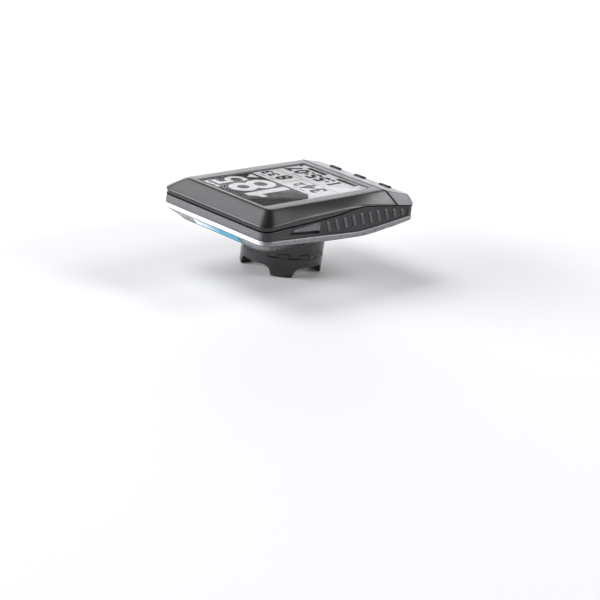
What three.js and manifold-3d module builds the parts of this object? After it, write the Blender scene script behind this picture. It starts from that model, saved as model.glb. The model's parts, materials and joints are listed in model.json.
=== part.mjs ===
// A handlebar cycling computer on its quarter-turn stem mount, as an assembly of separate parts.
// Units are millimetres. +Y points forward, +X to the rider's right and +Z up.
// The origin is the middle of the flat saddle under the stem mount.
import * as THREE from 'three';
import { mergeVertices } from 'three/addons/utils/BufferGeometryUtils.js';
import Module from 'manifold-3d';

const wasm = await Module();
wasm.setup();

// Driving dimensions of the case. Heights inside the computer are measured from its display face.
const CASE_HALF_WIDTH = 28.75;
const CASE_HALF_LENGTH = 45;
const CASE_CORNER = 4.5;
const DISPLAY_HEIGHT = 30.4;
const CASE_OFFSET_Y = -2;
const WALL = 1.8;
const GAP = 0.3;
const UNDERSIDE = -16.4;
const FLOOR = UNDERSIDE + 1.6;
const CEILING = -1.9;

// Heights round the case, each a few [y, z] points from the rear end to the front end.
const LIP = [[-45, -6.6], [-14, -3.1], [-4, -2.4], [24, -3.1], [45, -4.7]];
const SEAM = [[-46, -6.9], [-14, -3.3], [-9, -2.95], [3, -4.7], [20, -5.7], [46, -6.3]];
const RIM_TOP = [[-45, -10.4], [-11, -13.2], [14, -11.5], [45, -9.6]];
const RIM_BOTTOM = [[-45, -12.2], [-16, -15.4], [11, -14.2], [45, -11.8]];

// Flat top frame, its display window and the sloped strip that carries the three face buttons.
const FRAME_HALF_WIDTH = 23;
const FRAME_FRONT = 38.5;
const FRAME_REAR = -43.6;
const WINDOW_HALF_WIDTH = 18.1;
const WINDOW_REAR = -25;
const WINDOW_FRONT = 35.9;
const WINDOW_LEDGE = 1.1;
const STRIP_FRONT = -29.3;
const STRIP_ANGLE = THREE.MathUtils.degToRad(12);

// Case screws: three along each side, [y, height of the screw's tip].
const SCREW_X = 23.5;
const CASE_SCREWS = [[33, -2.6], [-20, -2.6], [-37, -4.2]];
const SCREW_SHANK_R = 0.85;
const SCREW_HEAD_R = 1.55;
const SCREW_HEAD_HEIGHT = 1.2;
const CASE_SEAT = -13.8;
const BOSS_R = 2.4;

// Buttons.
const FACE_BUTTON_Y = -41;
const FACE_BUTTON_SPACING = 13.8;
const FACE_BUTTON_SIZE = [6.4, 2.4];
const POWER_FRONT = 30;
const POWER_REAR = 14.3;
const ZOOM_BUTTON_Y = { zoom_button_front: 22, zoom_button_rear: 9 };
const ZOOM_SIZE = [9, 3];
const ZOOM_HEIGHT = -7.9;
const BUTTON_INSIDE = 25.8;
const FLANGE_OUTSIDE = 26.25;
const SWITCH_OUTSIDE = 25.2;

// Electronics stack.
const BOARD_TOP = -7.6;
const BOARD_BOTTOM = -8.6;
const BOARD_HALF_WIDTH = 20;
const BATTERY = { halfWidth: 19, rear: -24, front: 26, bottom: -13.7, top: -9.6 };

// Quarter-turn insert under the case, and the stem mount that takes it.
const INSERT_Y = 2;
const HUB_R = 10.5;
const TAB_R = 13.5;
const INSERT_BOTTOM = -19.9;
const INSERT_SCREW_X = 6.5;
const MOUNT_R = 16.6;
const RING_TOP = 13.5;
const RING_BOTTOM = 3.9;
const FOOT_BOTTOM = -4;
const PAD_THICKNESS = 0.8;
const ARCH_HALF_WIDTH = 8;
const ARCH_CROWN = 5;
const RING_SCREW_Y = 6.5;
const TOOTH_COUNT = 12;

// ---- small geometry helpers ----

function interpolate(points, y) {
  const next = points.findIndex((point) => point[0] >= y);
  if (next < 0) {
    return points[points.length - 1][1];
  }
  if (next === 0) {
    return points[0][1];
  }
  const [y0, z0] = points[next - 1];
  const [y1, z1] = points[next];
  return z0 + ((y - y0) / (y1 - y0)) * (z1 - z0);
}

function toSolid(geometry) {
  const bare = geometry.clone();
  bare.deleteAttribute('normal');
  bare.deleteAttribute('uv');
  const merged = mergeVertices(bare, 1e-5);
  return new wasm.Manifold(new wasm.Mesh({
    numProp: 3,
    vertProperties: new Float32Array(merged.attributes.position.array),
    triVerts: new Uint32Array(merged.index.array),
  }));
}

function toGeometry(solid) {
  const mesh = solid.getMesh();
  const geometry = new THREE.BufferGeometry();
  geometry.setAttribute('position', new THREE.BufferAttribute(mesh.vertProperties, 3));
  geometry.setIndex(new THREE.BufferAttribute(mesh.triVerts, 1));
  geometry.computeVertexNormals();
  return geometry;
}

function polygon(points) {
  return new THREE.Shape(points.map(([u, v]) => new THREE.Vector2(u, v)));
}

function roundedRectangle(halfWidth, rear, front, radius) {
  const shape = new THREE.Shape();
  shape.absarc(halfWidth - radius, rear + radius, radius, -Math.PI / 2, 0);
  shape.absarc(halfWidth - radius, front - radius, radius, 0, Math.PI / 2);
  shape.absarc(radius - halfWidth, front - radius, radius, Math.PI / 2, Math.PI);
  shape.absarc(radius - halfWidth, rear + radius, radius, Math.PI, Math.PI * 1.5);
  return shape;
}

// An outline in X and Y, made solid between two heights.
function plate(shape, bottom, top, curveSegments = 4) {
  const geometry = new THREE.ExtrudeGeometry(shape, {
    depth: top - bottom,
    bevelEnabled: false,
    curveSegments,
  });
  return toSolid(geometry.translate(0, 0, bottom));
}

function block(x0, x1, y0, y1, z0, z1) {
  const geometry = new THREE.BoxGeometry(x1 - x0, y1 - y0, z1 - z0);
  return toSolid(geometry.translate((x0 + x1) / 2, (y0 + y1) / 2, (z0 + z1) / 2));
}

// An outline in Y and Z, a shape or a list of [y, z] points, made solid from x0 to x1.
function acrossX(outline, x0, x1) {
  const shape = Array.isArray(outline) ? polygon(outline) : outline;
  const geometry = new THREE.ExtrudeGeometry(shape, {
    depth: x1 - x0,
    bevelEnabled: false,
    curveSegments: 6,
  });
  geometry.applyMatrix4(new THREE.Matrix4().makeBasis(
    new THREE.Vector3(0, 1, 0),
    new THREE.Vector3(0, 0, 1),
    new THREE.Vector3(1, 0, 0),
  ));
  return toSolid(geometry.translate(x0, 0, 0));
}

function disc(x, y, radius, bottom, top, segments = 24) {
  const geometry = new THREE.CylinderGeometry(radius, radius, top - bottom, segments);
  geometry.rotateX(Math.PI / 2);
  return toSolid(geometry.translate(x, y, (bottom + top) / 2));
}

// A sector of a flat ring, centred on an angle in degrees.
function sector(innerR, outerR, middle, width, bottom, top) {
  const from = THREE.MathUtils.degToRad(middle - width / 2);
  const to = THREE.MathUtils.degToRad(middle + width / 2);
  const shape = new THREE.Shape();
  shape.absarc(0, 0, outerR, from, to, false);
  shape.absarc(0, 0, innerR, to, from, true);
  return plate(shape, bottom, top, 5);
}

function rotatedSolid(solid, degreesZ) {
  return solid.rotate([0, 0, degreesZ]);
}

function joinAll(solids) {
  return solids.reduce((sum, solid) => sum.add(solid));
}

function cutAll(solid, cutters) {
  return cutters.reduce((rest, cutter) => rest.subtract(cutter), solid);
}

// ---- outline rings and lofts of the case ----

const CORNER_STEPS = 4;
const SIDE_STATIONS = [-32, -24, -14, -9, -4, 8, 20, 32];

// One closed ring round the case. height is a number or a list of [y, z] points.
function caseRing(halfWidth, rear, front, radius, height) {
  const outline = [];
  const addCorner = (centreX, centreY, startAngle) => {
    for (let step = 0; step <= CORNER_STEPS; step += 1) {
      const angle = startAngle + (step / CORNER_STEPS) * (Math.PI / 2);
      outline.push([centreX + radius * Math.cos(angle), centreY + radius * Math.sin(angle)]);
    }
  };
  addCorner(halfWidth - radius, rear + radius, -Math.PI / 2);
  SIDE_STATIONS.forEach((y) => outline.push([halfWidth, y]));
  addCorner(halfWidth - radius, front - radius, 0);
  addCorner(radius - halfWidth, front - radius, Math.PI / 2);
  [...SIDE_STATIONS].reverse().forEach((y) => outline.push([-halfWidth, y]));
  addCorner(radius - halfWidth, rear + radius, Math.PI);
  return outline.map(([x, y]) => {
    const z = typeof height === 'number' ? height : interpolate(height, y);
    return new THREE.Vector3(x, y, z);
  });
}

function insetRing(inset, height) {
  return caseRing(
    CASE_HALF_WIDTH - inset,
    inset - CASE_HALF_LENGTH,
    CASE_HALF_LENGTH - inset,
    CASE_CORNER - inset / 2,
    height,
  );
}

function shifted(points, offset) {
  return points.map(([y, z]) => [y, z + offset]);
}

function pushBand(indices, lower, upper, count) {
  for (let i = 0; i < count; i += 1) {
    const j = (i + 1) % count;
    indices.push(lower + i, lower + j, upper + j);
    indices.push(lower + i, upper + j, upper + i);
  }
}

function solidFromArrays(vertices, indices) {
  const geometry = new THREE.BufferGeometry();
  const flat = vertices.flatMap((vertex) => vertex.toArray());
  geometry.setAttribute('position', new THREE.Float32BufferAttribute(flat, 3));
  geometry.setIndex(indices);
  return toSolid(geometry);
}

// A solid through rings of equal length, from the lowest to the highest, closed by flat ends.
function loft(rings) {
  const count = rings[0].length;
  const vertices = rings.flat();
  const indices = [];
  for (let level = 0; level + 1 < rings.length; level += 1) {
    pushBand(indices, level * count, (level + 1) * count, count);
  }
  const top = (rings.length - 1) * count;
  const outline = (ring) => ring.map((point) => new THREE.Vector2(point.x, point.y));
  THREE.ShapeUtils.triangulateShape(outline(rings[0]), []).forEach(([a, b, c]) => indices.push(a, c, b));
  THREE.ShapeUtils.triangulateShape(outline(rings[rings.length - 1]), [])
    .forEach(([a, b, c]) => indices.push(top + a, top + b, top + c));
  return solidFromArrays(vertices, indices);
}

// A closed band between an outer and an inner outline, following two height lines.
function band(outerInset, innerInset, low, high) {
  const rings = [
    insetRing(innerInset, low),
    insetRing(outerInset, low),
    insetRing(outerInset, high),
    insetRing(innerInset, high),
  ];
  const count = rings[0].length;
  const indices = [];
  for (let level = 0; level < rings.length; level += 1) {
    pushBand(indices, level * count, ((level + 1) % rings.length) * count, count);
  }
  return solidFromArrays(rings.flat(), indices);
}

function stripHeight(y) {
  return (y - STRIP_FRONT) * Math.tan(STRIP_ANGLE);
}

// Everything above the sloped strip, moved down by depth.
function aboveStrip(depth) {
  const rear = -50;
  return acrossX([
    [STRIP_FRONT, -depth],
    [STRIP_FRONT, 5],
    [rear, 5],
    [rear, stripHeight(rear) - depth],
  ], -35, 35);
}

function caseOuter() {
  return loft([
    caseRing(24, -39, 39, 5, UNDERSIDE),
    insetRing(0.8, RIM_BOTTOM),
    insetRing(0, RIM_TOP),
    insetRing(0, LIP),
    caseRing(FRAME_HALF_WIDTH, FRAME_REAR, FRAME_FRONT, 2.5, 0),
  ]).subtract(aboveStrip(0));
}

function caseCavity() {
  return loft([
    caseRing(22.4, -37.4, 37.4, 4, FLOOR),
    insetRing(WALL + 0.6, shifted(RIM_BOTTOM, 0.6)),
    insetRing(WALL, shifted(LIP, -1.4)),
    caseRing(22.1, -42.4, 37.6, 2, CEILING),
  ]).subtract(aboveStrip(-CEILING));
}

function aboveSeam(offset) {
  return acrossX([...shifted(SEAM, offset), [46, 5], [-46, 5]], -35, 35);
}

function belowSeam(offset) {
  return acrossX([[-46, -25], [46, -25], ...shifted(SEAM, offset).reverse()], -35, 35);
}

// ---- case shells ----

const outer = caseOuter();
const shell = outer.subtract(caseCavity());

function forEachCaseScrew(make) {
  return CASE_SCREWS.flatMap(([y, tip]) => [-SCREW_X, SCREW_X].map((x) => make(x, y, tip)));
}

function upperBosses(screws) {
  const bosses = screws.map(([x, y]) => disc(x, y, BOSS_R, -9, 0).intersect(outer));
  return joinAll(bosses);
}

function upperShell() {
  const screws = forEachCaseScrew((x, y, tip) => [x, y, tip]);
  const holes = screws.map(([x, y, tip]) => disc(x, y, SCREW_SHANK_R + GAP, -10, tip + 0.4, 16));
  return cutAll(shell.add(upperBosses(screws)).subtract(belowSeam(GAP / 2)), holes);
}

function topHousing(upper) {
  const window = plate(
    roundedRectangle(WINDOW_HALF_WIDTH, WINDOW_REAR, WINDOW_FRONT, 0.8),
    -1.4,
    1,
  );
  const view = plate(
    roundedRectangle(
      WINDOW_HALF_WIDTH - WINDOW_LEDGE,
      WINDOW_REAR + WINDOW_LEDGE,
      WINDOW_FRONT - WINDOW_LEDGE,
      0.5,
    ),
    -4,
    1,
  );
  return cutAll(upper, [window, view, block(-35, 35, -50, STRIP_FRONT + GAP / 2, -20, 5)]);
}

function faceButtonMatrix(x) {
  const place = new THREE.Matrix4().makeTranslation(x, FACE_BUTTON_Y, stripHeight(FACE_BUTTON_Y));
  return place.multiply(new THREE.Matrix4().makeRotationX(STRIP_ANGLE));
}

function tiltedBlock(x, width, depth, low, high) {
  const geometry = new THREE.BoxGeometry(width, depth, high - low);
  geometry.translate(0, 0, (low + high) / 2);
  return toSolid(geometry.applyMatrix4(faceButtonMatrix(x)));
}

const faceButtonXs = [-FACE_BUTTON_SPACING, 0, FACE_BUTTON_SPACING];

function rearButtonCover(upper) {
  const [width, depth] = FACE_BUTTON_SIZE;
  const holes = faceButtonXs.map((x) => tiltedBlock(x, width + 2 * GAP, depth + 2 * GAP, -4, 3));
  return cutAll(upper, [...holes, block(-35, 35, STRIP_FRONT - GAP / 2, 50, -20, 5)]);
}

// Outline of the wedge-shaped power button, grown by margin on its lower three sides.
function powerOutline(top, margin) {
  return [
    [POWER_REAR - margin, interpolate(SEAM, POWER_REAR) - top],
    [POWER_REAR - margin, -9.8 - margin],
    [POWER_FRONT + margin, -8.1 - margin],
    [POWER_FRONT + margin, interpolate(SEAM, POWER_FRONT) - top],
  ];
}

function zoomBlock(y, margin, x0, x1) {
  const [length, height] = ZOOM_SIZE;
  return block(
    x0,
    x1,
    y - length / 2 - margin,
    y + length / 2 + margin,
    ZOOM_HEIGHT - height / 2 - margin,
    ZOOM_HEIGHT + height / 2 + margin,
  );
}

const PANEL_DEPTH = 0.9;
const PANEL_RECESS = 0.35;
const PANEL_REAR = -38;
const PANEL_FRONT = { left: 12, right: -2 };

function panelOutline(front, margin) {
  const stations = [PANEL_REAR, -30, -20, -10, front];
  const low = stations.map((y) => [y, interpolate(RIM_TOP, y) + 0.9 + margin]);
  const high = stations.map((y) => [y, interpolate(SEAM, y) - 0.9 - margin]);
  low[0][0] += margin;
  high[0][0] += margin;
  low[low.length - 1][0] -= margin;
  high[high.length - 1][0] -= margin;
  return [...low, ...high.reverse()];
}

const ACCENT = { left: -17, right: 11, top: -12.5, bottom: -15.6, thickness: 0.7 };

// Inlay on the lower front chamfer, whose face runs from the rim to the underside.
function accentOutline(depth, margin) {
  const faceY = (z) => 39 + ((z - UNDERSIDE) / (-11.8 - UNDERSIDE)) * 5.2;
  const top = ACCENT.top + margin;
  const bottom = ACCENT.bottom - margin;
  return [
    [faceY(top) - depth, top],
    [faceY(bottom) - depth, bottom],
    [faceY(bottom) + 3, bottom],
    [faceY(top) + 3, top],
  ];
}

const FLAP = { halfWidth: 6.2, bottom: -11.9, top: -7.7, thickness: 1.3 };

function bottomHousing() {
  const bosses = forEachCaseScrew((x, y) => disc(x, y, BOSS_R, -17, 0).intersect(outer));
  const insertBosses = [-1, 1].map((side) => disc(side * INSERT_SCREW_X, INSERT_Y, 2.2, FLOOR, -13.9));
  const body = joinAll([shell, ...bosses, ...insertBosses]).subtract(aboveSeam(-GAP / 2));
  const screwHoles = forEachCaseScrew((x, y) => disc(x, y, SCREW_SHANK_R + GAP, -18, 0, 16));
  const counterbores = forEachCaseScrew((x, y) => disc(x, y, SCREW_HEAD_R + GAP, -18, CASE_SEAT, 16));
  const insertHoles = [-1, 1].map((side) => (
    disc(side * INSERT_SCREW_X, INSERT_Y, SCREW_SHANK_R + GAP, -18, -14.4, 16)
  ));
  const zoomPockets = Object.values(ZOOM_BUTTON_Y).map((y) => zoomBlock(y, GAP, 24, 30));
  return cutAll(body, [
    ...screwHoles,
    ...counterbores,
    ...insertHoles,
    ...zoomPockets,
    acrossX(powerOutline(-2, GAP), -30, -24),
    acrossX(panelOutline(PANEL_FRONT.left, -GAP), -30, PANEL_DEPTH + PANEL_RECESS - CASE_HALF_WIDTH),
    acrossX(panelOutline(PANEL_FRONT.right, -GAP), CASE_HALF_WIDTH - PANEL_DEPTH - PANEL_RECESS, 30),
    acrossX(accentOutline(ACCENT.thickness + GAP, GAP), ACCENT.left - GAP, ACCENT.right + GAP),
    block(-FLAP.halfWidth - GAP, FLAP.halfWidth + GAP, -46, -43.35, FLAP.bottom - GAP, FLAP.top + GAP),
    block(-4.3, 4.3, -46, -40, -11.4, -8.4),
    disc(12, -30, 0.5, -18, -14, 12),
  ]);
}

// Seal that lies inside the wall, close under the lip and clear of every button.
function caseGasket() {
  return band(WALL + 0.15, WALL + 0.8, shifted(LIP, -2.35), shifted(LIP, -1.45));
}

function sidePanel(side, front) {
  const ribs = [];
  const outside = CASE_HALF_WIDTH - 0.05;
  const inside = CASE_HALF_WIDTH - PANEL_DEPTH - PANEL_RECESS + 0.05;
  const span = ([a, b]) => (side > 0 ? [a, b] : [-b, -a]);
  const sheet = acrossX(panelOutline(front, 0), ...span([inside, CASE_HALF_WIDTH - PANEL_RECESS]));
  for (let y = front - 4; y > PANEL_REAR + 12; y -= 5) {
    const middle = (interpolate(RIM_TOP, y) + interpolate(SEAM, y)) / 2;
    const outline = [
      [y - 1.9, middle - 2.4],
      [y - 0.5, middle - 2.4],
      [y + 1.3, middle + 2],
      [y - 0.1, middle + 2],
    ];
    ribs.push(acrossX(outline, ...span([inside, outside])));
  }
  return joinAll([sheet, ...ribs]);
}

function frontAccent() {
  const clear = 0.1;
  const inlay = acrossX(accentOutline(ACCENT.thickness, 0), ACCENT.left, ACCENT.right);
  return inlay.intersect(outer.translate([0, -clear, clear]));
}

// ---- buttons, their switches and the charging-port flap ----

function faceButton(x) {
  const [width, depth] = FACE_BUTTON_SIZE;
  const cap = tiltedBlock(x, width, depth, -2.6, 0.75);
  const flange = tiltedBlock(x, width + 1.2, depth + 1.2, -2.6, -2.2);
  return cap.add(flange);
}

function faceSwitch(x) {
  return block(x - 1.6, x + 1.6, FACE_BUTTON_Y - 0.6, FACE_BUTTON_Y + 1.6, -6.5, -5.8);
}

function buttonBoard() {
  return block(-19, 19, -42.6, -35.4, -7.3, -6.5);
}

function powerButton() {
  const cap = acrossX(powerOutline(0.35, 0), -CASE_HALF_WIDTH, -BUTTON_INSIDE);
  const flange = acrossX(powerOutline(0.7, 0.6), -FLANGE_OUTSIDE, -BUTTON_INSIDE);
  return cap.add(flange);
}

function zoomButton(y) {
  const cap = zoomBlock(y, 0, BUTTON_INSIDE, CASE_HALF_WIDTH);
  return cap.add(zoomBlock(y, 0.5, BUTTON_INSIDE, FLANGE_OUTSIDE));
}

function sideSwitch(side, y) {
  const [x0, x1] = side > 0 ? [22, SWITCH_OUTSIDE] : [-SWITCH_OUTSIDE, -22];
  return block(x0, x1, y - 2.2, y + 2.2, BOARD_TOP, BOARD_TOP + 1.5);
}

function usbFlap() {
  const sheet = block(-FLAP.halfWidth, FLAP.halfWidth, -45, FLAP.thickness - 45, FLAP.bottom, FLAP.top);
  return sheet.intersect(outer);
}

// ---- display ----

function windowGlass() {
  const outline = roundedRectangle(WINDOW_HALF_WIDTH - GAP, WINDOW_REAR + GAP, WINDOW_FRONT - GAP, 0.7);
  return plate(outline, -1.1, -0.1);
}

function windowSeal() {
  const outline = roundedRectangle(WINDOW_HALF_WIDTH - GAP, WINDOW_REAR + GAP, WINDOW_FRONT - GAP, 0.7);
  outline.holes.push(roundedRectangle(
    WINDOW_HALF_WIDTH - WINDOW_LEDGE,
    WINDOW_REAR + WINDOW_LEDGE,
    WINDOW_FRONT - WINDOW_LEDGE,
    0.5,
  ));
  return plate(outline, -1.4, -1.1);
}

const LCD = { halfWidth: 19.2, rear: -27, front: 37.1, bottom: -3.9, top: -2.2 };

function lcdPanel() {
  return block(-LCD.halfWidth, LCD.halfWidth, LCD.rear, LCD.front, LCD.bottom, LCD.top);
}

function backlight() {
  return block(-LCD.halfWidth, LCD.halfWidth, LCD.rear + 2, LCD.front, LCD.bottom - 0.9, LCD.bottom - 0.1);
}

function displayFrame() {
  const rim = 0.6;
  const tray = block(
    -LCD.halfWidth - rim,
    LCD.halfWidth + rim,
    LCD.rear - rim,
    LCD.front + rim,
    -5.8,
    -2.5,
  );
  const pocket = block(
    -LCD.halfWidth - 0.1,
    LCD.halfWidth + 0.1,
    LCD.rear - 0.1,
    LCD.front + 0.1,
    -4.9,
    0,
  );
  const flexSlot = block(-8.4, 8.4, -29, -25.4, -5, 0);
  return cutAll(tray, [pocket, flexSlot]);
}

// Flat cable from the display's rear edge, round a half turn and back onto the main board.
function displayFlex() {
  const thickness = 0.25;
  const start = -25.5;
  const bendY = -27.1;
  const top = -4;
  const bottom = BOARD_TOP + 0.02;
  const middle = (top + bottom) / 2;
  const radius = (top - bottom) / 2;
  const shape = new THREE.Shape();
  shape.moveTo(start, top);
  shape.absarc(bendY, middle, radius, Math.PI / 2, Math.PI * 1.5, false);
  shape.lineTo(start, bottom);
  shape.lineTo(start, bottom + thickness);
  shape.absarc(bendY, middle, radius - thickness, Math.PI * 1.5, Math.PI / 2, true);
  shape.lineTo(start, top - thickness);
  return acrossX(shape, -8, 8);
}

function ledBoard() {
  return block(-16, 16, 38.2, 41, -6.3, -5.6);
}

function lightGuide() {
  return block(-16, 16, 38.2, 39.4, -5.5, -3.6);
}

// ---- main board and battery ----

function mainBoard() {
  const half = BOARD_HALF_WIDTH;
  const ear = 24;
  const shape = polygon([
    [-half, -38], [half, -38], [half, 3], [ear, 3], [ear, 27], [half, 27],
    [half, 31], [-half, 31], [-half, 28], [-ear, 28], [-ear, 16], [-half, 16],
  ]);
  return plate(shape, BOARD_BOTTOM, BOARD_TOP);
}

function rfShield() {
  return block(-15, 5, -18, 6, BOARD_TOP, BOARD_TOP + 1.5);
}

function gpsAntenna() {
  return plate(roundedRectangle(7.5, 12.5, 27.5, 0.8), BOARD_TOP, BOARD_TOP + 1.6);
}

function radioModule() {
  return block(9, 18, -16, -2, BOARD_TOP, BOARD_TOP + 1.2);
}

function pressureSensor() {
  return block(10.5, 13.5, -31.5, -28.5, BOARD_BOTTOM - 0.9, BOARD_BOTTOM);
}

function buzzer() {
  return disc(-11, -31, 4.6, BOARD_BOTTOM - 2.6, BOARD_BOTTOM);
}

function usbSocket() {
  const body = block(-3.8, 3.8, -42.2, -36.7, BOARD_BOTTOM - 2.6, BOARD_BOTTOM);
  return body.subtract(block(-3.4, 3.4, -44, -37.7, BOARD_BOTTOM - 2.2, BOARD_BOTTOM - 0.4));
}

function batteryConnector() {
  return block(-3, 3, 27.6, 30.4, BOARD_BOTTOM - 1.7, BOARD_BOTTOM);
}

function batteryLead() {
  return acrossX([[26.1, -11.6], [27.5, -10.1], [27.5, -9.6], [26.1, -11]], -1.6, 1.6);
}

function batteryPack() {
  const outline = roundedRectangle(BATTERY.halfWidth, BATTERY.rear, BATTERY.front, 2);
  return plate(outline, BATTERY.bottom, BATTERY.top);
}

function batteryPad() {
  const sheet = block(-17, 17, -22, 24, FLOOR, BATTERY.bottom);
  const holes = [-1, 1].map((side) => disc(side * INSERT_SCREW_X, INSERT_Y, 2.6, -16, -13));
  return cutAll(sheet, holes);
}

function ventMembrane() {
  return disc(12, -30, 2, FLOOR, FLOOR + 0.3);
}

// ---- screws ----

// A screw that points up: a head with a cross recess at the bottom and a plain shank.
function screw(x, y, headBottom, tip) {
  const head = disc(x, y, SCREW_HEAD_R, headBottom, headBottom + SCREW_HEAD_HEIGHT, 20);
  const shank = disc(x, y, SCREW_SHANK_R, headBottom + SCREW_HEAD_HEIGHT / 2, tip, 12);
  const recess = [[0.9, 0.25], [0.25, 0.9]].map(([a, b]) => (
    block(x - a, x + a, y - b, y + b, headBottom - 1, headBottom + 0.6)
  ));
  return cutAll(head.add(shank), recess);
}

// ---- quarter-turn insert and stem mount ----

function mountInsert() {
  const hub = disc(0, INSERT_Y, HUB_R, INSERT_BOTTOM, UNDERSIDE - 0.02, 48);
  const tabs = [90, 270].map((angle) => sector(8, TAB_R, angle, 44, INSERT_BOTTOM, INSERT_BOTTOM + 1.6));
  const movedTabs = tabs.map((tab) => tab.translate([0, INSERT_Y, 0]));
  const holes = [-1, 1].flatMap((side) => [
    disc(side * INSERT_SCREW_X, INSERT_Y, SCREW_SHANK_R + GAP, -21, -15, 16),
    disc(side * INSERT_SCREW_X, INSERT_Y, SCREW_HEAD_R + GAP, -21, -18.2, 20),
  ]);
  return cutAll(joinAll([hub, ...movedTabs]), holes);
}

function mountRing() {
  const body = disc(0, 0, MOUNT_R, RING_BOTTOM, RING_TOP, 64);
  const mouth = disc(0, 0, HUB_R + 0.4, 7.2, 15, 48);
  const chamber = disc(0, 0, TAB_R + 0.4, 9.9, 12.5, 48);
  const pit = disc(0, 0, HUB_R + 0.4, 7.2, 10, 48);
  const entries = [0, 180].map((angle) => sector(9, TAB_R + 0.4, angle, 54, 9.9, 15));
  const sockets = toothAngles().map((angle) => sector(14.6, 18, angle, 16.4, 3, 5.7));
  const holes = [-1, 1].map((side) => disc(0, side * RING_SCREW_Y, SCREW_SHANK_R + GAP, 3, 6.7, 16));
  return cutAll(body, [mouth, chamber, pit, ...entries, ...sockets, ...holes]);
}

function toothAngles() {
  return Array.from({ length: TOOTH_COUNT }, (_, index) => (index + 0.5) * (360 / TOOTH_COUNT));
}

function archCutter() {
  const shape = new THREE.Shape();
  const low = FOOT_BOTTOM - 1;
  const bend = ARCH_HALF_WIDTH - ARCH_CROWN;
  shape.moveTo(-ARCH_HALF_WIDTH, low);
  shape.lineTo(ARCH_HALF_WIDTH, low);
  shape.lineTo(ARCH_HALF_WIDTH, -bend);
  shape.absarc(ARCH_CROWN, -bend, bend, 0, Math.PI / 2);
  shape.absarc(-ARCH_CROWN, -bend, bend, Math.PI / 2, Math.PI);
  const geometry = new THREE.ExtrudeGeometry(shape, { depth: 40, bevelEnabled: false, curveSegments: 6 });
  geometry.rotateX(Math.PI / 2);
  return toSolid(geometry.translate(0, 20, 0));
}

function mountBase() {
  const body = disc(0, 0, MOUNT_R, FOOT_BOTTOM + PAD_THICKNESS, RING_BOTTOM, 64);
  const teeth = toothAngles().map((angle) => sector(15, MOUNT_R, angle, 14.6, RING_BOTTOM - 1, 5.4));
  const arch = archCutter();
  const holes = [-1, 1].flatMap((side) => [
    disc(0, side * RING_SCREW_Y, SCREW_SHANK_R + GAP, -2, 5, 16),
    disc(0, side * RING_SCREW_Y, SCREW_HEAD_R + GAP, -2, 1.9, 20),
  ]);
  return cutAll(joinAll([body, ...teeth]), [arch, rotatedSolid(arch, 90), ...holes]);
}

function gripPad(index) {
  const blank = disc(0, 0, MOUNT_R, FOOT_BOTTOM, FOOT_BOTTOM + PAD_THICKNESS, 64);
  const inner = ARCH_HALF_WIDTH;
  const corner = block(inner, 20, inner, 20, FOOT_BOTTOM - 1, FOOT_BOTTOM + 2);
  return blank.intersect(rotatedSolid(corner, 90 * index));
}

// ---- assembly ----

function finish(colour, roughness, metalness = 0) {
  return { color: colour, roughness, metalness };
}

const FINISHES = {
  housing: finish(0x4b4c4f, 0.55),
  underside: finish(0x2c2d2f, 0.6),
  rubber: finish(0x3a3b3d, 0.85),
  button: finish(0x1d1e20, 0.6),
  panel: finish(0x3e3f42, 0.65),
  accent: finish(0x35aee0, 0.4),
  glass: finish(0x9aa0a2, 0.1),
  lcd: finish(0xd9dcd8, 0.3),
  clearPlastic: finish(0xe6edf0, 0.2),
  board: finish(0x1f5c3a, 0.5),
  component: finish(0x202124, 0.5),
  metal: finish(0xb9bcc0, 0.35, 1),
  ceramic: finish(0xd8cfc0, 0.6),
  battery: finish(0xa9adb3, 0.45, 0.4),
  foam: finish(0x35373a, 0.95),
  flex: finish(0xb0702c, 0.45),
  mount: finish(0x18191b, 0.4),
};

const assembly = new THREE.Group();
const computer = new THREE.Group();
computer.position.set(0, CASE_OFFSET_Y, DISPLAY_HEIGHT);
const stemMount = new THREE.Group();
assembly.add(computer, stemMount);

function addPart(parent, name, solid, slot) {
  const mesh = new THREE.Mesh(toGeometry(solid), new THREE.MeshStandardMaterial(FINISHES[slot]));
  mesh.name = name;
  parent.add(mesh);
}

function addShells() {
  const upper = upperShell();
  addPart(computer, 'top_housing', topHousing(upper), 'housing');
  addPart(computer, 'rear_button_cover', rearButtonCover(upper), 'rubber');
  addPart(computer, 'bottom_housing', bottomHousing(), 'underside');
  addPart(computer, 'case_gasket', caseGasket(), 'rubber');
  addPart(computer, 'side_panel_left', sidePanel(-1, PANEL_FRONT.left), 'panel');
  addPart(computer, 'side_panel_right', sidePanel(1, PANEL_FRONT.right), 'panel');
  addPart(computer, 'front_accent', frontAccent(), 'accent');
  addPart(computer, 'vent_membrane', ventMembrane(), 'foam');
}

function addDisplay() {
  addPart(computer, 'window_glass', windowGlass(), 'glass');
  addPart(computer, 'window_seal', windowSeal(), 'foam');
  addPart(computer, 'lcd_panel', lcdPanel(), 'lcd');
  addPart(computer, 'backlight', backlight(), 'clearPlastic');
  addPart(computer, 'display_frame', displayFrame(), 'metal');
  addPart(computer, 'display_flex', displayFlex(), 'flex');
  addPart(computer, 'led_board', ledBoard(), 'board');
  addPart(computer, 'light_guide', lightGuide(), 'clearPlastic');
}

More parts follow.
